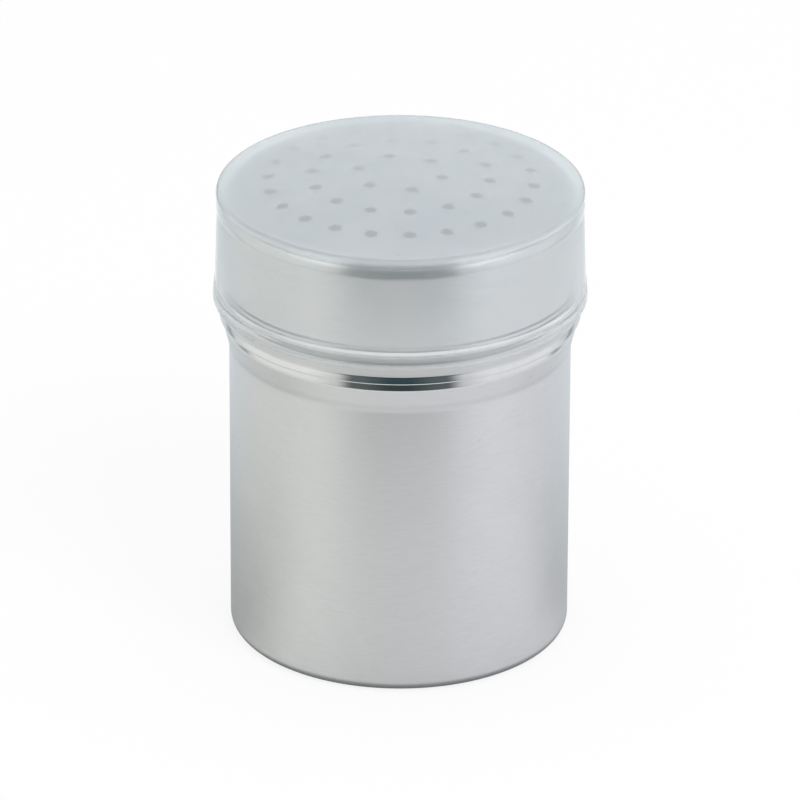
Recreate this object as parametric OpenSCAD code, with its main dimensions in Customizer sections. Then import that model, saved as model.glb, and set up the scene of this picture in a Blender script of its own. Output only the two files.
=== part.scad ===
// Spice shaker: a drawn steel can, a domed steel lid with sifting holes that pushes over
// the can's neck, and a frosted plastic cap that keeps dust and damp out of the holes.
// Millimetres. The origin is the middle of the face that the can stands on, and +Z is up.

/* [Can] */
// Outside diameter of the can's straight side
can_d = 69; // [66:0.5:72]
// Height of the can alone, to the top of its rolled rim
can_h = 91.3; // [86:0.1:91.4]
// Thickness of the steel sheet that the can and the lid are pressed from
sheet_t = 0.5; // [0.4:0.05:0.6]
// Radius of the corner between the can's side and its base
base_round = 2.3; // [1.5:0.1:4]
// How far the middle of the base is pressed up, so that the can stands on a ring
base_lift = 1.2; // [0.6:0.1:2]
// Distance from the side of the can to the step in its base
foot_w = 4.3; // [4:0.1:8]

/* [Bead and neck] */
// Height at which the side begins to spread towards the bead
flare_z = 62.5; // [58:0.1:64]
// Height of the bead's crest
bead_z = 67.45; // [66.5:0.05:67.8]
// How far the bead's crest stands out from the side
bead_out = 1.2; // [0.9:0.05:1.2]
// Height at which the shoulder above the bead becomes the upright neck
neck_z = 68.85; // [68.6:0.05:69.1]
// How far the neck stands out from the side
neck_out = 0.6; // [0.4:0.05:0.6]
// Radius of the roll that hides the cut edge of the can's mouth
rim_roll = 0.7; // [0.6:0.05:0.8]

/* [Lid] */
// Height of the middle of the lid's domed top
lid_top_z = 98.8; // [98.7:0.05:98.9]
// Radial gap between the can's neck and the lid's skirt
lid_gap = 0.3; // [0.25:0.05:0.35]
// Radius of the sphere that the lid's top and the cap's top are part of
dome_r = 179; // [170:1:200]
// Radius of the lid's rounded edge, between its top and its skirt
lid_round = 5.5; // [5.3:0.1:6]
// Height of the cut edge of the lid's turned-out lip
lip_z = 69.4; // [69.3:0.05:69.6]
// How far the lip turns out from the skirt
lip_out = 0.55; // [0.3:0.05:0.6]
// Height of the turned-out lip
lip_h = 0.95; // [0.8:0.05:1.5]

/* [Sifting holes] */
// Diameter of each hole
hole_d = 2.5; // [2:0.1:3]
// Radii of the three rings that the holes lie on
ring_r = [8.6, 17.85, 26.6]; // [5:0.05:30]
// Number of holes in each ring
ring_count = [6, 14, 22]; // [4:1:24]
// Turn of each ring about the middle of the lid, from +X towards +Y, in degrees
ring_turn = [104.7, 96.1, 93.9]; // [0:0.1:120]

/* [Cap] */
// Height of the middle of the cap's domed top, which is the height of the whole shaker
cap_top_z = 100; // [99.95:0.05:101]
// Thickness of the cap's top
cap_top_t = 0.9; // [0.7:0.05:0.9]
// Thickness of the cap's side
cap_side_t = 0.7; // [0.5:0.05:0.8]
// Radial gap between the lid's skirt and the cap's side, at its tightest
cap_gap = 0.25; // [0.2:0.05:0.35]
// Draft of the cap's side: how much wider it is at its mouth, on the radius
cap_draft = 0.6; // [0.3:0.05:0.8]
// Height of the cap's mouth
cap_mouth_z = 72.75; // [72:0.05:73.5]
// Heights of the two fine lines that run round the cap above its mouth
line_z = [76.3, 75.2]; // [74.8:0.05:77]
// How far the side steps out at each of those lines
line_out = 0.1; // [0.05:0.01:0.12]
// How far the mouth stands out beyond the side, where the band below the lines spreads
mouth_out = 0.33; // [0.25:0.01:0.5]
// Height of the narrow bead that runs round the edge of the top
edge_h = 3.3; // [2.8:0.1:4]
// Height of the slope from the side out to that bead
edge_slope_h = 1.1; // [1:0.1:1.5]
// How far that bead stands out from the side
edge_out = 0.15; // [0.1:0.05:0.2]
// Radius of the cap's edge, between its top and its side
cap_round = 1.2; // [1.1:0.1:1.5]

/* [Hidden] */

// Facets of a circle, and points of each rounded corner in an outline
$fn = 120;
corner_n = 8;

// Radii of the bends in the can's side, from the bottom to the top
foot_bend = 1.5;
flare_bend = 5;
bead_bend = 0.7;
neck_bend = 1.2;
// Width of the step in the base, between the raised middle and the foot ring
foot_step = 1.6;
// Radius of the bend where the lid's skirt turns out into the lip
lip_bend = 0.8;
// Height of the step at each fine line round the cap
line_h = 0.13;
// Radii of the small corners of the cap's fine lines, of its mouth and of the bead round its top
line_bend = 0.12;
mouth_bend = 0.3;
edge_bend = 1.5;

// Outside radii of the can's side, its neck, the lid's skirt and the cap's side
can_r = can_d / 2;
neck_r = can_r + neck_out;
skirt_r = neck_r + lid_gap + sheet_t;
cap_r = skirt_r + cap_gap + cap_side_t;
// Height of the middle of the rolled rim
rim_z = can_h - rim_roll;
// Heights of the sphere's centre for the lid and for the cap
lid_dome_z = lid_top_z - dome_r;
cap_dome_z = cap_top_z - dome_r;
// Height where the cap's side meets the narrow bead round its top
edge_z = dome_edge_z(cap_dome_z, cap_r + edge_out, cap_round) - edge_h;

// Unit vector from a towards b
function unit(a, b) = (b - a) / norm(b - a);

// Points of an arc about c, from angle a0 to angle a1
function arc(c, r, a0, a1) =
    [for (i = [0 : corner_n]) let (a = a0 + (a1 - a0) * i / corner_n) c + r * [cos(a), sin(a)]];

// Height of the centre of the corner arc between a dome about height z0 and a side of radius r
function dome_edge_z(z0, r, round_r) = z0 + sqrt(pow(dome_r - round_r, 2) - pow(r - round_r, 2));

// Angle from the level at which that corner arc runs into the dome
function dome_edge_a(r, round_r) = acos((r - round_r) / (dome_r - round_r));

// Points of the corner at p between a and b, rounded to radius r
function corner(a, p, b, r) =
    let (
        u = unit(p, a),
        v = unit(p, b),
        half = acos(u * v) / 2,
        centre = p + r / sin(half) * unit([0, 0], u + v),
        start = p + r / tan(half) * u,
        end = p + r / tan(half) * v
    )
    [for (i = [0 : corner_n]) centre + r * unit(centre, start + (end - start) * i / corner_n)];

// The radius and height of point i of a path, whose points are [radius, height, bend]
function spot(path, i) = [path[i][0], path[i][1]];

// Outline of a path, with each bend drawn as an arc
function outline(path) = [
    for (i = [0 : len(path) - 1])
        if (path[i][2] == 0)
            spot(path, i)
        else
            each corner(spot(path, i - 1), spot(path, i), spot(path, i + 1), path[i][2])
];

// Left-hand normal of stretch i of a path, which points into the sheet
function side(path, i) =
    let (d = unit(spot(path, i), spot(path, i + 1)))
    [-d[1], d[0]];

// The path moved by t to its left, with its bends still concentric
function inset(path, t) = [
    for (i = [0 : len(path) - 1])
        let (
            a = side(path, max(i - 1, 0)),
            b = side(path, min(i, len(path) - 2)),
            p = spot(path, i) + t * (a + b) / (1 + a * b),
            turn = sign(cross(a, b)),
            bend = path[i][2]
        )
        [p[0], p[1], bend == 0 ? 0 : bend - turn * t]
];

// A list back to front
function reverse(list) = [for (i = [len(list) - 1 : -1 : 0]) list[i]];

// Domed top with a rounded edge, as the curve from a side of radius r to the axis
function dome(z0, r, round_r, in) =
    let (
        a = dome_edge_a(r, round_r),
        c = [r - round_r, dome_edge_z(z0, r, round_r)]
    )
    concat(arc(c, round_r - in, 0, a), arc([0, z0], dome_r - in, a, 90));

// Can: one deep-drawn sheet, with a raised base, a bead as a stop for the lid, and a rolled rim
module shaker_can() {
    sheet_path = [
        [0, base_lift, 0],
        [can_r - foot_w - foot_step, base_lift, foot_bend],
        [can_r - foot_w, 0, foot_bend],
        [can_r, 0, base_round],
        [can_r, flare_z, flare_bend],
        [can_r + bead_out, bead_z, bead_bend],
        [neck_r, neck_z, neck_bend],
        [neck_r, rim_z, 0]
    ];
    inner_path = inset(sheet_path, sheet_t);
    neck_inside = [for (i = [0 : len(inner_path) - 2]) inner_path[i]];
    roll_end = 270 + asin((rim_roll - sheet_t) / rim_roll);
    color([0.75, 0.75, 0.74])
        rotate_extrude()
            polygon(concat(
                outline(sheet_path),
                arc([neck_r - rim_roll, rim_z], rim_roll, 0, 90),
                arc([neck_r - rim_roll, rim_z], rim_roll, 90, roll_end),
                reverse(outline(concat(neck_inside, [[neck_r - sheet_t, neck_z + 2 * neck_bend, 0]])))
            ));
}

// Sifting holes: one ring of count round holes, cut through the domed top
module hole_ring(r, count, turn) {
    for (i = [0 : count - 1])
        rotate(turn + i * 360 / count)
            translate([r, 0, lid_top_z - 2 * lid_round])
                cylinder(h = 3 * lid_round, d = hole_d, $fn = 24);
}

// Lid: one pressed sheet, with a domed top, a plain skirt and a turned-out lip
module perforated_lid() {
    skirt_path = [
        [skirt_r + lip_out, lip_z, 0],
        [skirt_r, lip_z + lip_h, lip_bend],
        [skirt_r, lid_top_z - 3 * lid_round, 0]
    ];
    inner_path = inset(skirt_path, sheet_t);
    lip_edge = (spot(skirt_path, 0) + spot(inner_path, 0)) / 2;
    lip_a = atan2(lip_z - lip_edge[1], skirt_r + lip_out - lip_edge[0]);
    color([0.72, 0.74, 0.75])
        difference() {
            rotate_extrude()
                polygon(concat(
                    arc(lip_edge, sheet_t / 2, lip_a - 180, lip_a),
                    outline(skirt_path),
                    dome(lid_dome_z, skirt_r, lid_round, 0),
                    reverse(dome(lid_dome_z, skirt_r, lid_round, sheet_t)),
                    reverse(outline(inner_path))
                ));
            for (k = [0 : len(ring_r) - 1])
                hole_ring(ring_r[k], ring_count[k], ring_turn[k]);
        }
}

// Outside radius of the cap's drafted side at height z
function cap_side(z) = cap_r + cap_draft * (edge_z - z) / (edge_z - cap_mouth_z);

// Path across fine line i of the cap, upwards: the foot of its step and the top of its step
function line_step(i) = [
    [cap_side(line_z[i]) + line_out * (i + 1), line_z[i] - line_h, line_bend],
    [cap_side(line_z[i]) + line_out * i, line_z[i], line_bend]
];

// Cap: moulded frosted plastic, with two fine lines above its mouth and a domed top
module dust_cap() {
    inner_r = skirt_r + cap_gap;
    edge_r = cap_r + edge_out;
    path = concat(
        [
            [inner_r + cap_draft, cap_mouth_z, 0],
            [cap_side(cap_mouth_z) + mouth_out, cap_mouth_z, mouth_bend]
        ],
        [for (i = [len(line_z) - 1 : -1 : 0]) each line_step(i)],
        [
            [cap_r, edge_z, edge_bend],
            [edge_r, edge_z + edge_slope_h, edge_bend],
            [edge_r, edge_z + edge_h, 0]
        ]
    );
    color([0.84, 0.87, 0.89], 0.6)
        rotate_extrude()
            polygon(concat(
                outline(path),
                dome(cap_dome_z, edge_r, cap_round, 0),
                reverse(dome(cap_dome_z, inner_r + cap_top_t, cap_round, cap_top_t))
            ));
}

shaker_can();
perforated_lid();
dust_cap();
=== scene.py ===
from math import acos, asin, atan2, ceil, cos, degrees, hypot, pi, radians, sin, sqrt, tan

import bpy
from mathutils import Matrix, Vector, geometry


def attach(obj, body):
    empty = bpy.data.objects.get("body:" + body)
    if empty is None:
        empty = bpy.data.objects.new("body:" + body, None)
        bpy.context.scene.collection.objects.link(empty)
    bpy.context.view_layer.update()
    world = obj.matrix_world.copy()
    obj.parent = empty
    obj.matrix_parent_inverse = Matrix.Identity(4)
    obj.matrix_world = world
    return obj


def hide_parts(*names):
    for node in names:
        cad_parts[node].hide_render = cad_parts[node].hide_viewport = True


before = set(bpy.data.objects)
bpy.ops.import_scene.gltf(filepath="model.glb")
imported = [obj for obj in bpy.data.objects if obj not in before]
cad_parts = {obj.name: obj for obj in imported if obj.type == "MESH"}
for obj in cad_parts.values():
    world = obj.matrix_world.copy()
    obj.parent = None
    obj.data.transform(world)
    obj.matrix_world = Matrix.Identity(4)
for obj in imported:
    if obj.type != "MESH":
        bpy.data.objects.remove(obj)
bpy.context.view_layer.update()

# ---------------------------------------------------------------------------------------------
# The can. One cup, deep-drawn from half-millimetre stainless sheet, with a stepped base, a bead
# that stops the lid, and a rolled mouth. Its side is brushed on a lathe; the shoulder above the
# bead is left polished by the forming roller.
# ---------------------------------------------------------------------------------------------
MM = 0.001
MM_IN_A_METRE = 1000.0
TINY = 1e-6
TURN_STEPS = 256
SHEET = 0.5

# Sizes are in millimetres, and heights are above the table
can_radius = 34.5
base_rise = 1.2
base_step = can_radius - 5.9
foot_ring = can_radius - 4.3
base_bend = 1.5
foot_bend = 2.3
spread_height = 62.5
spread_bend = 5
bead_radius = can_radius + 1.2
bead_height = 67.45
bead_bend = 0.7
neck_radius = can_radius + 0.6
neck_height = 68.85
neck_bend = 1.2
neck_inside_height = 71.25
rim_height = 90.6
rim_roll = 0.7


def unit(a, b):
    """Direction from a to b, in an outline of (radius, height)"""
    length = hypot(b[0] - a[0], b[1] - a[1])
    return ((b[0] - a[0]) / length, (b[1] - a[1]) / length)


def arc(centre, radius, start, end, step=6):
    """Points of an arc, with its angles in degrees"""
    count = max(4, ceil(abs(end - start) / step))
    turn = [radians(start + (end - start) * i / count) for i in range(count + 1)]
    return [(centre[0] + radius * cos(t), centre[1] + radius * sin(t)) for t in turn]


def bend(a, p, b, radius):
    """Points of the rounded corner at p, on the way from a to b"""
    u, v = unit(p, a), unit(p, b)
    half = acos(u[0] * v[0] + u[1] * v[1]) / 2
    middle = unit((0, 0), (u[0] + v[0], u[1] + v[1]))
    reach, away = radius / tan(half), radius / sin(half)
    centre = (p[0] + away * middle[0], p[1] + away * middle[1])
    start = (p[0] + reach * u[0], p[1] + reach * u[1])
    end = (p[0] + reach * v[0], p[1] + reach * v[1])
    a0 = degrees(atan2(start[1] - centre[1], start[0] - centre[0]))
    a1 = degrees(atan2(end[1] - centre[1], end[0] - centre[0]))
    swing = (a1 - a0 + 180) % 360 - 180
    return arc(centre, radius, a0, a0 + swing)


def bent(path):
    """Outline of a path of (radius, height, bend), with its corners rounded"""
    points = []
    for i, (r, z, radius) in enumerate(path):
        points += bend(path[i - 1], (r, z), path[i + 1], radius) if radius else [(r, z)]
    return points


def inset(path, by):
    """The path moved to its left by the sheet's thickness, with its bends still concentric"""
    sides = []
    for p, q in zip(path, path[1:]):
        d = unit(p, q)
        sides.append((-d[1], d[0]))
    moved = []
    for i, (r, z, radius) in enumerate(path):
        a, b = sides[max(i - 1, 0)], sides[min(i, len(sides) - 1)]
        share = by / (1 + a[0] * b[0] + a[1] * b[1])
        turn = a[0] * b[1] - a[1] * b[0]
        tighter = by if turn > 0 else -by if turn < 0 else 0
        inner_radius = radius - tighter if radius else 0
        moved.append((r + share * (a[0] + b[0]), z + share * (a[1] + b[1]), inner_radius))
    return moved


def eased(points, near=0.15, far=4.0):
    """The outline with extra points on its long straights, so that bends shade as bends"""
    result = [points[0]]
    for p, q in zip(points, points[1:]):
        length = hypot(q[0] - p[0], q[1] - p[1])
        if length > 8 * near:
            count = max(1, ceil((length - 2 * near) / far))
            for i in range(count + 1):
                t = (near + (length - 2 * near) * i / count) / length
                result.append((p[0] + (q[0] - p[0]) * t, p[1] + (q[1] - p[1]) * t))
        if length > TINY:
            result.append(q)
    return result


def joined(loops, faces):
    """Adds the faces between loops of vertices that follow each other; a loop may be one point"""
    for low, high in zip(loops, loops[1:]):
        steps = max(len(low), len(high))
        for i in range(steps):
            j = (i + 1) % steps
            if len(low) == 1:
                faces.append((low[0], high[j], high[i]))
            elif len(high) == 1:
                faces.append((low[i], low[j], high[0]))
            else:
                faces.append((low[i], low[j], high[j], high[i]))


def turned(points, verts, faces):
    """Adds the surface of an outline turned about the z axis, and returns its rings of vertices"""
    rings = []
    for r, z in points:
        steps = TURN_STEPS if r > TINY else 1
        rings.append(range(len(verts), len(verts) + steps))
        for i in range(steps):
            a = 2 * pi * i / TURN_STEPS
            verts.append((r * MM * cos(a), r * MM * sin(a), z * MM))
    joined(rings, faces)
    return rings


def piece(name, verts, faces, *materials):
    """A smooth mesh in the scene, with its materials"""
    mesh = bpy.data.meshes.new(name)
    mesh.from_pydata(verts, [], faces)
    mesh.validate()
    mesh.shade_smooth()
    for material in materials:
        mesh.materials.append(material)
    made = bpy.data.objects.new(name, mesh)
    bpy.context.scene.collection.objects.link(made)
    return made


def feed(tree, socket, value):
    """Gives a socket a number or a colour, or links another node or one of its outputs to it"""
    if isinstance(value, bpy.types.Node):
        value = value.outputs[0]
    if isinstance(value, bpy.types.NodeSocket):
        tree.links.new(value, socket)
    elif isinstance(value, tuple) and len(value) == 3:
        socket.default_value = (*value, 1)
    else:
        socket.default_value = value


def node_in(tree, kind, **values):
    """A shader node, with values by the name of its property or of its socket"""
    made = tree.nodes.new(kind)
    for key, value in values.items():
        if hasattr(made, key):
            setattr(made, key, value)
        else:
            feed(tree, made.inputs[key.replace("_", " ")], value)
    return made


def calc(tree, operation, *values):
    """The output of a Math node, with numbers or other outputs as its inputs"""
    made = node_in(tree, "ShaderNodeMath", operation=operation)
    for socket, value in zip(made.inputs, values):
        feed(tree, socket, value)
    return made.outputs[0]


def times(tree, first, *others):
    """The product of two or more outputs or numbers"""
    for other in others:
        first = calc(tree, "MULTIPLY", first, other)
    return first


def most(tree, first, *others):
    """The largest of two or more outputs"""
    for other in others:
        first = calc(tree, "MAXIMUM", first, other)
    return first


def varied(tree, value, texture, amount):
    """A value that a texture moves by half the amount either way"""
    if isinstance(value, float):
        lowest = value - amount / 2
    else:
        lowest = calc(tree, "SUBTRACT", value, amount / 2)
    return calc(tree, "MULTIPLY_ADD", texture, amount, lowest)


def ramp(tree, value, span, at_low=0.0, at_high=1.0):
    """A smooth step over a span of a value, from at_low to at_high"""
    made = node_in(
        tree, "ShaderNodeMapRange", interpolation_type="SMOOTHSTEP", Value=value,
        From_Min=span[0], From_Max=span[1], To_Min=at_low, To_Max=at_high,
    )
    return made.outputs["Result"]


def step_at(tree, height, at, before=0.3, after=0.3, at_low=0.0, at_high=1.0):
    """A smooth step at a height in millimetres, over a little before and after it"""
    return ramp(tree, height, ((at - before) * MM, (at + after) * MM), at_low, at_high)


def squares(tree, x, y):
    """The sum of two squares"""
    return calc(tree, "ADD", times(tree, x, x), times(tree, y, y))


def reach_of(tree, x, y):
    """Distance from the shaker's upright axis"""
    return calc(tree, "SQRT", squares(tree, x, y))


def turn_of(tree, x, y):
    """Angle round the shaker's upright axis, from the front, in radians"""
    return calc(tree, "ARCTAN2", x, times(tree, y, -1.0))


def coordinates(tree, kind="Object"):
    """The coordinates of a point, together and each on its own"""
    place = node_in(tree, "ShaderNodeTexCoord").outputs[kind]
    return place, *node_in(tree, "ShaderNodeSeparateXYZ", Vector=place).outputs


def noise(tree, place, scale, detail, roughness):
    """Soft noise, between 0 and 1"""
    made = node_in(
        tree, "ShaderNodeTexNoise", Vector=place, Scale=scale, Detail=detail, Roughness=roughness
    )
    return made.outputs["Fac"]


def group(name, inputs, outputs, kind="Float"):
    """An empty node group with named number inputs, and outputs of one kind"""
    tree = bpy.data.node_groups.new(name, "ShaderNodeTree")
    for label, value in inputs.items():
        made = tree.interface.new_socket(label, in_out="INPUT", socket_type="NodeSocketFloat")
        made.default_value = value
    for label in outputs:
        tree.interface.new_socket(label, in_out="OUTPUT", socket_type="NodeSocket" + kind)
    return tree, tree.nodes.new("NodeGroupInput"), tree.nodes.new("NodeGroupOutput")


def place_group(tree, source, **values):
    """A node group placed in a material with its own values"""
    made = tree.nodes.new("ShaderNodeGroup")
    made.node_tree = source
    for key, value in values.items():
        feed(tree, made.inputs[key.replace("_", " ")], value)
    return made


def brush_lines():
    """Short fine lines that run round a piece, where the belt followed the lathe"""
    inputs = {"Lines per mm": 2.5, "Length mm": 3.0}
    tree, given, out = group("brush_lines", inputs, ["Lines", "Cloud"])
    place, x, y, z = coordinates(tree)
    across = calc(tree, "ADD", reach_of(tree, x, y), z)
    along = calc(tree, "DIVIDE", MM_IN_A_METRE, given.outputs["Length mm"])
    fine = times(tree, given.outputs["Lines per mm"], MM_IN_A_METRE)
    point = node_in(
        tree, "ShaderNodeCombineXYZ",
        X=times(tree, x, along), Y=times(tree, y, along), Z=times(tree, across, fine),
    )
    lines = noise(tree, point, scale=1.0, detail=3.0, roughness=0.65)
    cloud = noise(tree, place, scale=70.0, detail=3.0, roughness=0.55)
    feed(tree, out.inputs["Lines"], lines)
    feed(tree, out.inputs["Cloud"], cloud)
    return tree


def handling_marks():
    """Sparse nicks and specks: one small slanted dash in some of the cells of a loose grid"""
    inputs = {"Spacing mm": 9.0, "Length mm": 0.8, "Width mm": 0.12, "Share": 0.4, "Slant": 0.8}
    tree, given, out = group("handling_marks", inputs, ["Mark"])
    spacing = given.outputs["Spacing mm"]
    _, x, y, z = coordinates(tree)
    r = reach_of(tree, x, y)
    u, v = times(tree, turn_of(tree, x, y), r), calc(tree, "ADD", r, z)
    grid = calc(tree, "DIVIDE", MM_IN_A_METRE, spacing)
    point = node_in(tree, "ShaderNodeCombineXYZ", X=times(tree, u, grid), Y=times(tree, v, grid))
    cells = node_in(
        tree, "ShaderNodeTexVoronoi", voronoi_dimensions="2D", Scale=1.0, Vector=point
    )
    away = node_in(tree, "ShaderNodeVectorMath", operation="SUBTRACT")
    feed(tree, away.inputs[0], point)
    feed(tree, away.inputs[1], cells.outputs["Position"])
    chance = node_in(tree, "ShaderNodeSeparateColor", Color=cells.outputs["Color"])
    lean = calc(tree, "SUBTRACT", chance.outputs["Red"], 0.5)
    lean = times(tree, lean, given.outputs["Slant"])
    du, dv, _ = node_in(tree, "ShaderNodeSeparateXYZ", Vector=away).outputs
    dv = calc(tree, "SUBTRACT", dv, times(tree, du, lean))
    du = calc(tree, "DIVIDE", du, calc(tree, "DIVIDE", given.outputs["Length mm"], spacing))
    dv = calc(tree, "DIVIDE", dv, calc(tree, "DIVIDE", given.outputs["Width mm"], spacing))
    soft_edge = (0.1, 0.3)
    mark = ramp(tree, squares(tree, du, dv), soft_edge, 1.0, 0.0)
    kept = calc(tree, "LESS_THAN", chance.outputs["Green"], given.outputs["Share"])
    feed(tree, out.inputs["Mark"], times(tree, mark, kept))
    return tree


brushing = brush_lines()
marks = handling_marks()


def new_material(name, **values):
    """A new material, with values on its shader's own sockets"""
    made = bpy.data.materials.new(name)
    made.use_nodes = True
    shader = made.node_tree.nodes["Principled BSDF"]
    for key, value in values.items():
        shader.inputs[key.replace("_", " ")].default_value = value
    return made, made.node_tree, shader


def add_relief(tree, shader, height, depth):
    """Gives a material a fine relief, with its depth in millimetres"""
    relief = node_in(tree, "ShaderNodeBump", Strength=1.0, Distance=depth * MM, Height=height)
    feed(tree, shader.inputs["Normal"], relief)


STEEL_TINT = {"Red": 0.985, "Green": 1.0, "Blue": 1.01}
LINE_TONE, CLOUD_TONE = 0.10, 0.06
LINE_ROUGHNESS, CLOUD_ROUGHNESS = 0.12, 0.10
NICK_TONE = -0.17
RING_TONE, RING_WIDTH = -0.045, 1.2
# How much darker the painted shade makes a skirt under an overhang
PAINTED_SHADE_TONE = -0.10
DOME_ROUGHNESS, DOME_BLEND = 0.15, 1.5


def steel(
    name, base, satin, polished, bright_from, bright_to, line_depth,
    ring_at=None, painted_shade_below=None, dome_from=None,
):
    """Stainless steel, satin where it was brushed and bright between two heights. A faint ring
    shows where a tool stopped, a skirt may be darkened low down with painted shade, as under an
    overhang, and a dome rougher from a height"""
    made, tree, shader = new_material(
        name, Metallic=1.0, Anisotropic=0.6, Anisotropic_Rotation=0.25
    )
    round_z = node_in(tree, "ShaderNodeTangent", direction_type="RADIAL", axis="Z")
    feed(tree, shader.inputs["Tangent"], round_z)
    grain = place_group(tree, brushing, Lines_per_mm=2.2, Length_mm=3.0)
    lines, cloud = grain.outputs["Lines"], grain.outputs["Cloud"]
    nicks = place_group(
        tree, marks, Spacing_mm=11.0, Length_mm=1.0, Width_mm=0.2, Share=0.14, Slant=0.9
    )
    _, _, _, height = coordinates(tree)
    above = step_at(tree, height, bright_from, before=0.35, after=0.15)
    bright = times(tree, above, step_at(tree, height, bright_to, at_low=1.0, at_high=0.0))
    brushed = calc(tree, "SUBTRACT", 1.0, bright)

    tone = varied(tree, varied(tree, base, lines, LINE_TONE), cloud, CLOUD_TONE)
    if ring_at:
        off_ring = calc(tree, "ABSOLUTE", calc(tree, "SUBTRACT", height, ring_at * MM))
        ring = ramp(tree, off_ring, (0.0, RING_WIDTH * MM), 1.0, 0.0)
        tone = calc(tree, "MULTIPLY_ADD", ring, RING_TONE, tone)
    if painted_shade_below:
        # Painted shade: the brushed skirt is darker below a height, where the cap overhangs it
        painted_skirt_shade = times(tree, step_at(tree, height, painted_shade_below, at_low=1.0, at_high=0.0), brushed)
        tone = calc(tree, "MULTIPLY_ADD", painted_skirt_shade, PAINTED_SHADE_TONE, tone)
    tone = calc(tree, "MULTIPLY_ADD", nicks.outputs["Mark"], NICK_TONE, tone)
    colour = node_in(tree, "ShaderNodeCombineColor")
    for channel, tint in STEEL_TINT.items():
        feed(tree, colour.inputs[channel], times(tree, tone, tint))
    feed(tree, shader.inputs["Base Color"], colour)

    rough = varied(tree, satin, cloud, CLOUD_ROUGHNESS)
    rough = varied(tree, rough, lines, LINE_ROUGHNESS)
    if dome_from:
        dome = step_at(
            tree, height, dome_from, before=0.0, after=DOME_BLEND, at_high=DOME_ROUGHNESS
        )
        rough = calc(tree, "ADD", rough, dome)
    mix = node_in(tree, "ShaderNodeMix", data_type="FLOAT", Factor=bright, A=rough, B=polished)
    feed(tree, shader.inputs["Roughness"], mix.outputs["Result"])
    add_relief(tree, shader, times(tree, lines, brushed), line_depth)
    return made


can_path = [
    (0, base_rise, 0),
    (base_step, base_rise, base_bend),
    (foot_ring, 0, base_bend),
    (can_radius, 0, foot_bend),
    (can_radius, spread_height, spread_bend),
    (bead_radius, bead_height, bead_bend),
    (neck_radius, neck_height, neck_bend),
    (neck_radius, rim_height, 0),
]
inner_path = inset(can_path, SHEET)
roll_centre = (neck_radius - rim_roll, rim_height)
roll_end = 270 + degrees(asin((rim_roll - SHEET) / rim_roll))
can_inside = bent(inner_path[:-1] + [(neck_radius - SHEET, neck_inside_height, 0)])
rolled_rim = arc(roll_centre, rim_roll, 0, roll_end, step=12)[1:]
can_outline = bent(can_path) + rolled_rim + can_inside[::-1]

can_steel = steel(
    "can_steel", base=0.64, satin=0.33, polished=0.09, bright_from=67.4, bright_to=69.6,
    line_depth=0.004, ring_at=63.2,
)
verts, faces = [], []
turned(eased(can_outline), verts, faces)
can = piece("steel_can", verts, faces, can_steel)
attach(can, "can")
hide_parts("shaker_can")

# ---------------------------------------------------------------------------------------------
# The lid. One stainless pressing that pushes over the can's neck: a low dome with forty-two
# sifting holes punched in three rings, a plain skirt, and a bright lip turned out at its edge.
# ---------------------------------------------------------------------------------------------
DOME = 179
HOLE_RINGS = ((8.6, 6, 104.7), (17.85, 14, 96.1), (26.6, 22, 93.9))
HOLE_STEPS = 32
HOLE_EDGE = 0.15

lid_gap = 0.3
lid_height = 98.8
skirt_radius = neck_radius + lid_gap + SHEET
lip_out = 0.55
lip_foot = 69.4
lip_top = 70.35
lip_bend = 0.8
lip_end = 71.2
lid_centre = lid_height - DOME
lid_corner = 5.5
corner_foot = 2.2
foot_angle = 25
hole_radius = 1.25
burr = 0.03


def dome_edge(centre_z, radius, corner):
    """Angle at which a rounded corner meets the dome, and the height of that corner's centre"""
    reach = radius - corner
    height = centre_z + sqrt((DOME - corner) ** 2 - reach ** 2)
    return degrees(acos(reach / (DOME - corner))), height


lip_path = [
    (skirt_radius + lip_out, lip_foot, 0),
    (skirt_radius, lip_top, lip_bend),
    (skirt_radius, lip_end, 0),
]
lip_inner = inset(lip_path, SHEET)
lip_edge = ((lip_path[0][0] + lip_inner[0][0]) / 2, (lip_path[0][1] + lip_inner[0][1]) / 2)
lip_angle = degrees(atan2(lip_path[0][1] - lip_edge[1], lip_path[0][0] - lip_edge[0]))
corner_reach = skirt_radius + (lid_corner - corner_foot) * (1 - cos(radians(foot_angle)))
edge_angle, corner_height = dome_edge(lid_centre, corner_reach, lid_corner)
corner_centre = (corner_reach - lid_corner, corner_height)
foot_centre = (
    corner_centre[0] + (lid_corner - corner_foot) * cos(radians(foot_angle)),
    corner_centre[1] + (lid_corner - corner_foot) * sin(radians(foot_angle)),
)


def lid_face(path, inward):
    """Outline of one face of the lid's sheet, from the lip up to the edge of the dome"""
    side = bent(path) + arc(foot_centre, corner_foot - inward, 0, foot_angle, step=4)
    return side + arc(corner_centre, lid_corner - inward, foot_angle, edge_angle, step=4)[1:]


outer_side = lid_face(lip_path, 0)
lip_round = arc(lip_edge, SHEET / 2, lip_angle - 180, lip_angle, step=20)[1:-1]
verts, faces = [], []
rings = turned(eased(lid_face(lip_inner, SHEET)[::-1] + lip_round + outer_side), verts, faces)
under_ring, top_ring = rings[0], rings[-1]


def circle(radius, count, x=0, y=0, shift=0.0):
    """Points of a circle about a point, in millimetres"""
    angles = [2 * pi * (i + shift) / count for i in range(count)]
    return [(x + radius * cos(a), y + radius * sin(a)) for a in angles]


def loop_edges(start, count):
    """The edges of a closed loop of points that starts at a place in a list"""
    return [(start + i, start + (i + 1) % count) for i in range(count)]


def from_holes(x, y):
    """Distance to the middle of the nearest hole"""
    return min(hypot(x - hx, y - hy) for hx, hy in holes)


def dome_z(x, y, radius):
    """Height in metres of the lid's dome over a point in millimetres"""
    return (lid_centre + sqrt(radius ** 2 - x * x - y * y)) * MM


holes = [
    (r * cos(radians(turn + 360 * i / count)), r * sin(radians(turn + 360 * i / count)))
    for r, count, turn in HOLE_RINGS
    for i in range(count)
]

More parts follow.
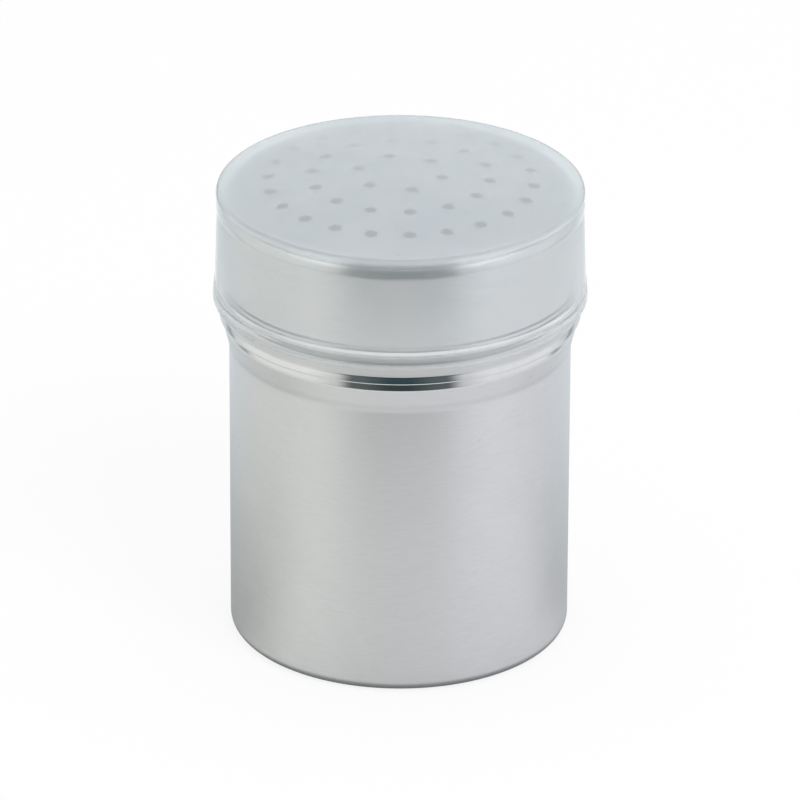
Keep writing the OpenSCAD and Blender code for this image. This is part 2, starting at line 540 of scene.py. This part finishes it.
# The dome is laid out flat, with points round each hole and in rows between the holes, and then
# lifted into its two faces
edge_radius = outer_side[-1][0]
flat = circle(edge_radius, TURN_STEPS)
edges = loop_edges(0, TURN_STEPS)
hole_starts = []
for hx, hy in holes:
    hole_starts.append(len(flat))
    edges += loop_edges(len(flat), HOLE_STEPS)
    flat += circle(hole_radius + HOLE_EDGE, HOLE_STEPS, hx, hy)
second_ring, ring_gap, edge_gap, spacing = 0.55, 1.0, 0.6, 1.0
for hx, hy in holes:
    flat += circle(hole_radius + second_ring, HOLE_STEPS // 2, hx, hy, 0.5)
for k in range(1, int((edge_radius - edge_gap) / spacing)):
    r = k * spacing
    row = circle(r, max(6, round(2 * pi * r / spacing)), shift=0.5 * (k % 2))
    flat += [p for p in row if from_holes(*p) > hole_radius + ring_gap]
plane, _, triangles, sources, _, _ = geometry.delaunay_2d_cdt(
    [Vector(p) for p in flat], edges, [], 0, TINY
)
place_of = {s: i for i, found in enumerate(sources) for s in found}

top_of, under_of = {}, {}
for i, p in enumerate(plane):
    first = sources[i][0] if sources[i] else -1
    if 0 <= first < TURN_STEPS:
        top_of[i], under_of[i] = top_ring[first], under_ring[first]
        continue
    top_of[i], under_of[i] = len(verts), len(verts) + 1
    verts.append((p.x * MM, p.y * MM, dome_z(p.x, p.y, DOME)))
    verts.append((p.x * MM, p.y * MM, dome_z(p.x, p.y, DOME - SHEET)))
for a, b, c in triangles:
    x, y = (plane[a] + plane[b] + plane[c]) / 3
    if from_holes(x, y) > hole_radius + HOLE_EDGE * 0.5:
        faces.append((top_of[a], top_of[b], top_of[c]))
        faces.append((under_of[c], under_of[b], under_of[a]))

# Each hole's wall, from the rolled edge on top down to a small burr underneath
hole_wall = [
    (HOLE_EDGE * (1 - sin(radians(t))), -HOLE_EDGE * (1 - cos(radians(t)))) for t in (30, 60, 90)
]
hole_wall += [(0, HOLE_EDGE - SHEET), (HOLE_EDGE / 3, burr - SHEET)]
for (hx, hy), start in zip(holes, hole_starts):
    loops = [[top_of[place_of[start + i]] for i in range(HOLE_STEPS)]]
    for out, drop in hole_wall:
        loops.append(range(len(verts), len(verts) + HOLE_STEPS))
        for x, y in circle(hole_radius + out, HOLE_STEPS, hx, hy):
            verts.append((x * MM, y * MM, dome_z(x, y, DOME) + drop * MM))
    loops.append([under_of[place_of[start + i]] for i in range(HOLE_STEPS)])
    joined(loops, faces)

# The lid's skirt gets painted shade below the cap's overhang
lid_steel = steel(
    "lid_steel", base=0.66, satin=0.15, polished=0.09, bright_from=60.0, bright_to=70.5,
    line_depth=0.002, painted_shade_below=73.5, dome_from=93.5,
)
lid = piece("sifter_lid", verts, faces, lid_steel)
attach(lid, "lid")
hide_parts("perforated_lid")

# ---------------------------------------------------------------------------------------------
# The cap. One moulding of milky polypropylene that grips the lid's skirt and keeps the spice dry:
# a low dome, a narrow bead round its edge, and one fine ridge above a slightly thicker mouth.
# ---------------------------------------------------------------------------------------------
cap_gap = 0.25
cap_wall = 0.7
cap_top = 0.9
cap_draft = 0.6
cap_height = 100
mouth_height = 72.75
lip_height = 73.6
ridge_from, ridge_to = 76.0, 76.45
cap_inner = skirt_radius + cap_gap
cap_radius = cap_inner + cap_wall
bead_out = 0.15
bead_depth = 3.3
bead_rise = 1.1
side_bend = 1.5
cap_edge = cap_radius + bead_out
cap_centre = cap_height - DOME
cap_corner = 1.2
cap_angle, cap_corner_height = dome_edge(cap_centre, cap_edge, cap_corner)
under_angle, under_corner_height = dome_edge(cap_centre, cap_inner + cap_top, cap_corner)
bead_foot = cap_corner_height - bead_depth

# The mouth from its edge up: height, how far it stands out of the drafted side, and its bend
MOUTH = (
    (mouth_height, 0.33, 0.25),
    (73.25, 0.26, 0.2),
    (73.65, 0.34, 0.2),
    (74.9, 0.24, 0.4),
    (75.35, 0.08, 0.3),
    (75.85, 0.22, 0.25),
    (76.15, 0.14, 0.2),
    (76.5, 0.0, 0.15),
)


def drafted(radius, top, z):
    """Radius at a height of a face that widens from its top down, to leave its mould"""
    return radius + cap_draft * (top - z) / (top - mouth_height)


cap_path = [(drafted(cap_inner, under_corner_height, z), z, 0) for z in (lip_height, mouth_height)]
cap_path += [(drafted(cap_radius, bead_foot, z) + out, z, radius) for z, out, radius in MOUTH]
cap_path += [
    (cap_radius, bead_foot, side_bend),
    (cap_edge, bead_foot + bead_rise, side_bend),
    (cap_edge, cap_corner_height, 0),
]
cap_outer = bent(cap_path)
cap_outer += arc((cap_edge - cap_corner, cap_corner_height), cap_corner, 0, cap_angle)[1:]
cap_outer += arc((0, cap_centre), DOME, cap_angle, 90, step=0.5)[1:]
under_corner = (cap_inner + cap_top - cap_corner, under_corner_height)
under = arc(under_corner, cap_corner - cap_top, 0, under_angle)
under += arc((0, cap_centre), DOME - cap_top, under_angle, 90, step=0.5)[1:]


def moulding():
    """The unevenness of moulded plastic: soft clouds where it flowed, and fine orange-peel grain"""
    tree, given, out = group("moulding", {"Cloud mm": 14.0, "Grain mm": 0.5}, ["Cloud", "Grain"])
    place = node_in(tree, "ShaderNodeTexCoord").outputs["Object"]
    for label, detail in (("Cloud", 2.0), ("Grain", 3.0)):
        scale = calc(tree, "DIVIDE", MM_IN_A_METRE, given.outputs[label + " mm"])
        feed(tree, out.inputs[label], noise(tree, place, scale, detail, roughness=0.5))
    return tree


def blended(tree, share, first, second, way="MIX"):
    """Two colours mixed by a share"""
    made = node_in(tree, "ShaderNodeMix", data_type="RGBA", blend_type=way)
    for socket, value in ((0, share), (6, first), (7, second)):
        feed(tree, made.inputs[socket], value)
    return made.outputs[2]


flow = moulding()
DUST = (0.35, 0.33, 0.30)
DUST_SHARE = 0.35
FLOW_ROUGHNESS = 0.04


def plastic(name, thin, thick, side_roughness, top_roughness, clear, grain_depth):
    """Natural polypropylene, which lets through the share of light that isn't scattered"""
    made, tree, shader = new_material(name, IOR=1.49, Transmission_Weight=clear)
    uneven = place_group(tree, flow, Cloud_mm=14.0, Grain_mm=0.45)
    specks = place_group(
        tree, marks, Spacing_mm=13.0, Length_mm=0.45, Width_mm=0.4, Share=0.12, Slant=0.5
    )
    tint = blended(tree, ramp(tree, uneven.outputs["Cloud"], (0.35, 0.65)), thin, thick)
    dusty = times(tree, specks.outputs["Mark"], DUST_SHARE)
    feed(tree, shader.inputs["Base Color"], blended(tree, dusty, tint, DUST))
    _, _, _, height = coordinates(tree)
    rough = step_at(
        tree, height, cap_corner_height, before=1, after=1,
        at_low=side_roughness, at_high=top_roughness,
    )
    rough = varied(tree, rough, uneven.outputs["Cloud"], FLOW_ROUGHNESS)
    feed(tree, shader.inputs["Roughness"], rough)
    add_relief(tree, shader, uneven.outputs["Grain"], grain_depth)
    return made


cap_skin = plastic(
    "frosted_plastic", thin=(0.955, 0.98, 0.985), thick=(0.92, 0.955, 0.965),
    side_roughness=0.06, top_roughness=0.20, clear=0.82, grain_depth=0.0008,
)
cap_inside = plastic(
    "cap_inside", thin=(1.0, 1.0, 1.0), thick=(0.99, 0.995, 1.0),
    side_roughness=0.15, top_roughness=0.12, clear=1.0, grain_depth=0.001,
)
cap_thick = plastic(
    "cap_thick", thin=(0.95, 0.965, 0.97), thick=(0.93, 0.95, 0.96),
    side_roughness=0.06, top_roughness=0.20, clear=0.55, grain_depth=0.0006,
)
cap_dome = plastic(
    "cap_top", thin=(0.825, 0.865, 0.89), thick=(0.80, 0.85, 0.88),
    side_roughness=0.18, top_roughness=0.18, clear=0.58, grain_depth=0.0004,
)
SKIN, INSIDE, THICK, TOP = range(4)

verts, faces = [], []
turned(eased(under[::-1] + cap_outer), verts, faces)
cap = piece("frosted_cap", verts, faces, cap_skin, cap_inside, cap_thick, cap_dome)
for face in cap.data.polygons:
    x, y, z = face.center
    faces_axis = face.normal.x * x + face.normal.y * y < -1e-9
    faces_down = face.normal.z < -0.5
    if z < lip_height * MM:
        face.material_index = THICK
    elif faces_axis or faces_down:
        face.material_index = INSIDE
    elif z > cap_corner_height * MM:
        face.material_index = TOP
    elif ridge_from * MM < z < ridge_to * MM:
        face.material_index = THICK
    else:
        face.material_index = SKIN
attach(cap, "cap")
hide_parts("dust_cap")

# ---------------------------------------------------------------------------------------------
# The table and the studio. A seamless white sweep under a white tent, with the dark gap that the
# camera looks in through.
# ---------------------------------------------------------------------------------------------
# Distances are in metres, turns in degrees from the front, and rises in degrees from level. Each
# pair is where a soft edge begins and ends.
table_radius = 4
table_steps = 64
table_drop = 0.00002
WHITE = (1, 1, 1)
PAPER = (0.93, 0.93, 0.93)


def by_angle(tree, angle, span, at_low=0.0, at_high=1.0):
    """A smooth step over a span of degrees"""
    return ramp(tree, angle, [radians(edge) for edge in span], at_low, at_high)


def over(tree, share, first, second):
    """Two shaders mixed by a share"""
    made = node_in(tree, "ShaderNodeMixShader")
    for socket, value in zip(made.inputs, (share, first, second)):
        feed(tree, socket, value)
    return made


def tent_tint():
    """The faint colours of the tent by direction: warm on the left, cool on the right and behind"""
    left, right, behind = (1.0, 1.0, 0.97), (0.99, 0.99, 1.02), (0.92, 0.98, 1.01)
    tree, given, out = group("tent_tint", {"X": 0.0, "Y": 0.0}, ["Tint"], "Color")
    turn = turn_of(tree, given.outputs["X"], given.outputs["Y"])
    sides = blended(tree, by_angle(tree, turn, (-60, 60)), left, right)
    back = by_angle(tree, calc(tree, "ABSOLUTE", turn), (95, 145))
    feed(tree, out.inputs["Tint"], blended(tree, back, sides, behind))
    return tree


tint = tent_tint()


def mirrored_hue(tree, x, y, glossy):
    """The tent's colour in a direction, as a reflection shows it, and white for every other ray"""
    hue = place_group(tree, tint, X=x, Y=y)
    return blended(tree, glossy, WHITE, hue.outputs["Tint"])


floor_rim = circle(table_radius, table_steps)
floor_mesh = bpy.data.meshes.new("table_top")
floor_mesh.from_pydata(
    [(0, 0, 0)] + [(x, y, 0) for x, y in floor_rim],
    [],
    [(0, a + 1, b + 1) for a, b in loop_edges(0, table_steps)],
)
floor = bpy.data.objects.new("table_top", floor_mesh)
floor.location.z = -table_drop
bpy.context.scene.collection.objects.link(floor)

paper = bpy.data.materials.new("white_sweep")
paper.use_nodes = True
tree = paper.node_tree
tree.nodes.clear()
rays = node_in(tree, "ShaderNodeLightPath")
glossy = rays.outputs["Is Glossy Ray"]
_, x, y, _ = coordinates(tree)
reach, turn = reach_of(tree, x, y), turn_of(tree, x, y)
away = calc(tree, "ABSOLUTE", turn)

# What steel mirrors in the sweep: the gap in front, the far edge, and the shade near the shaker,
# which is a painted shadow that only reflections show
gap_core = by_angle(tree, away, (31, 41), 0.7, 0.0)
gap_fringe = by_angle(tree, away, (16, 56), 1.0, 0.0)
front = times(tree, most(tree, gap_core, gap_fringe), ramp(tree, reach, (0.15, 0.36)))
far_edge = ramp(tree, reach, (0.9, 1.8), 0.0, 0.35)
near = ramp(tree, reach, (0.04, 0.15), 1.0, 0.0)
middle = ramp(tree, reach, (0.16, 0.20), 0.07, 0.0)
# A painted contact shadow just round the shaker's foot
painted_foot_shadow = ramp(tree, reach, (0.0345, 0.0375), 0.7, 0.0)
# Depths of the painted shadow behind on the left, behind on the right, and all round
left_shade, right_shade, near_shade = 0.35, 0.28, 0.06
left = times(
    tree,
    by_angle(tree, turn, (-90, -35), 1.0, 0.0),
    by_angle(tree, turn, (-172, -155)),
    calc(tree, "MULTIPLY_ADD", near, left_shade, middle),
)
right = times(
    tree,
    by_angle(tree, turn, (55, 105)),
    by_angle(tree, turn, (150, 170), 1.0, 0.0),
    calc(tree, "MULTIPLY_ADD", near, right_shade, middle),
)
dark = most(tree, most(tree, front, far_edge), most(tree, left, right))
dark = most(tree, dark, painted_foot_shadow, times(tree, near, near_shade))
dark = times(tree, dark, glossy)

# The sweep glows for the camera, so that the background is white, and a little in reflections
glow_hue = mirrored_hue(tree, x, y, glossy)
glow = node_in(tree, "ShaderNodeEmission", Color=glow_hue, Strength=1.0)
white = node_in(
    tree, "ShaderNodeBsdfDiffuse", Color=blended(tree, 1.0, PAPER, glow_hue, "MULTIPLY")
)
camera_glow, mirror_glow = 0.85, 0.25
see_through = most(tree, glossy, rays.outputs["Is Transmission Ray"])
share = calc(
    tree, "MULTIPLY_ADD",
    rays.outputs["Is Camera Ray"], camera_glow, times(tree, see_through, mirror_glow),
)
# The dark room's colour, which also draws the painted shadow in reflections
room = node_in(tree, "ShaderNodeEmission", Color=(0.06, 0.08, 0.08), Strength=1.0)
seen = over(tree, dark, over(tree, share, white, glow), room)
node_in(tree, "ShaderNodeOutputMaterial", Surface=seen)
floor_mesh.materials.append(paper)

world = bpy.data.worlds.new("tent")
bpy.context.scene.world = world
world.use_nodes = True
world.cycles.sampling_method = "NONE"
tree = world.node_tree
tree.nodes.clear()
rays = node_in(tree, "ShaderNodeLightPath")
glossy = rays.outputs["Is Glossy Ray"]
_, x, y, z = coordinates(tree, "Generated")
turn = calc(tree, "ABSOLUTE", turn_of(tree, x, y))
rise = calc(tree, "ARCSINE", z)

# The dark gap in front, and the line where the tent meets the sweep
gap_sides = by_angle(tree, turn, (30, 42), 1.0, 0.0)
gap_top = by_angle(tree, rise, (38, 52), 1.0, 0.0)
gap_flanks = by_angle(tree, turn, (4, 28), 1.0, 0.88)
horizon = by_angle(tree, rise, (0.3, 2), 0.5, 0.0)
gap = times(tree, most(tree, times(tree, gap_sides, gap_top, gap_flanks), horizon), glossy)

# The tent's walls, from its front edges round to the back, and its roof
front_edge = by_angle(tree, turn, (36, 62), 0.80, 1.08)
side_wall = by_angle(tree, turn, (102, 128), 1.0, 0.80)
back_wall = by_angle(tree, turn, (140, 162), 1.0, 1.18)
high_back = times(tree, by_angle(tree, rise, (25, 42)), by_angle(tree, turn, (100, 130)))
dimmer_high = calc(tree, "MULTIPLY_ADD", high_back, -0.10, 1.0)
walls = times(tree, front_edge, side_wall, back_wall, dimmer_high)
roof = by_angle(tree, turn, (60, 120), 0.92, 1.0)
below_roof = by_angle(tree, rise, (55, 75), 1.0, 0.0)
walls = calc(tree, "ADD", times(tree, calc(tree, "SUBTRACT", walls, roof), below_roof), roof)

# A bright patch high on each side, where a lamp stands behind the cloth
patch = times(
    tree,
    by_angle(tree, turn, (38, 52)),
    by_angle(tree, turn, (85, 105), 1.0, 0.0),
    by_angle(tree, rise, (25, 40)),
    by_angle(tree, rise, (60, 70), 0.7, 0.0),
)
walls = calc(tree, "ADD", walls, patch)
soft_light = by_angle(tree, rise, (50, 75), 0.72, 1.5)
level = node_in(tree, "ShaderNodeMix", data_type="FLOAT", Factor=glossy, A=soft_light, B=walls)
level = most(tree, level.outputs["Result"], rays.outputs["Is Camera Ray"])
tent = node_in(
    tree, "ShaderNodeBackground", Color=mirrored_hue(tree, x, y, glossy), Strength=level
)
room_low, room_high = (0.055, 0.078, 0.078), (0.02, 0.14, 0.19)
room_hue = blended(tree, by_angle(tree, rise, (25, 42)), room_low, room_high)
room = node_in(tree, "ShaderNodeBackground", Color=room_hue)
node_in(tree, "ShaderNodeOutputWorld", Surface=over(tree, gap, tent, room))

lamp_rise, lamp_turn, lamp_distance = radians(48), radians(35), 1.6
lamp = bpy.data.lights.new("soft_front", "AREA")
lamp.shape = "DISK"
lamp.size = 0.8
lamp.energy = 7
soft_front = bpy.data.objects.new("soft_front", lamp)
toward = Vector((
    cos(lamp_rise) * sin(lamp_turn),
    -cos(lamp_rise) * cos(lamp_turn),
    sin(lamp_rise),
))
soft_front.location = toward * lamp_distance
soft_front.rotation_euler = toward.to_track_quat("Z", "Y").to_euler()
soft_front.visible_glossy = False
soft_front.visible_transmission = False
soft_front.visible_camera = False
bpy.context.scene.collection.objects.link(soft_front)

# ---------------------------------------------------------------------------------------------
# The camera. A long lens in front of the shaker and a little above it.
# ---------------------------------------------------------------------------------------------
look_at = Vector((0.00004, 0, 0.04892))
camera_rise, camera_roll, camera_distance = radians(25.0), radians(0.23), 1.577
back = Vector((0, -cos(camera_rise), sin(camera_rise)))
level_right = Vector((1, 0, 0))
level_up = back.cross(level_right)
right = level_right * cos(camera_roll) + level_up * sin(camera_roll)
up = level_up * cos(camera_roll) - level_right * sin(camera_roll)
camera = bpy.data.objects.new("camera", bpy.data.cameras.new("camera"))
camera.data.lens = 350
camera.data.sensor_width = 36
camera.data.clip_end = 20
facing = Matrix((right, up, back)).transposed().to_4x4()
camera.matrix_world = Matrix.Translation(look_at + back * camera_distance) @ facing

scene = bpy.context.scene
scene.collection.objects.link(camera)
scene.camera = camera
scene.view_settings.view_transform = "Standard"
scene.cycles.max_bounces = 20
scene.cycles.diffuse_bounces = 8
scene.cycles.glossy_bounces = 12
scene.cycles.transmission_bounces = 20
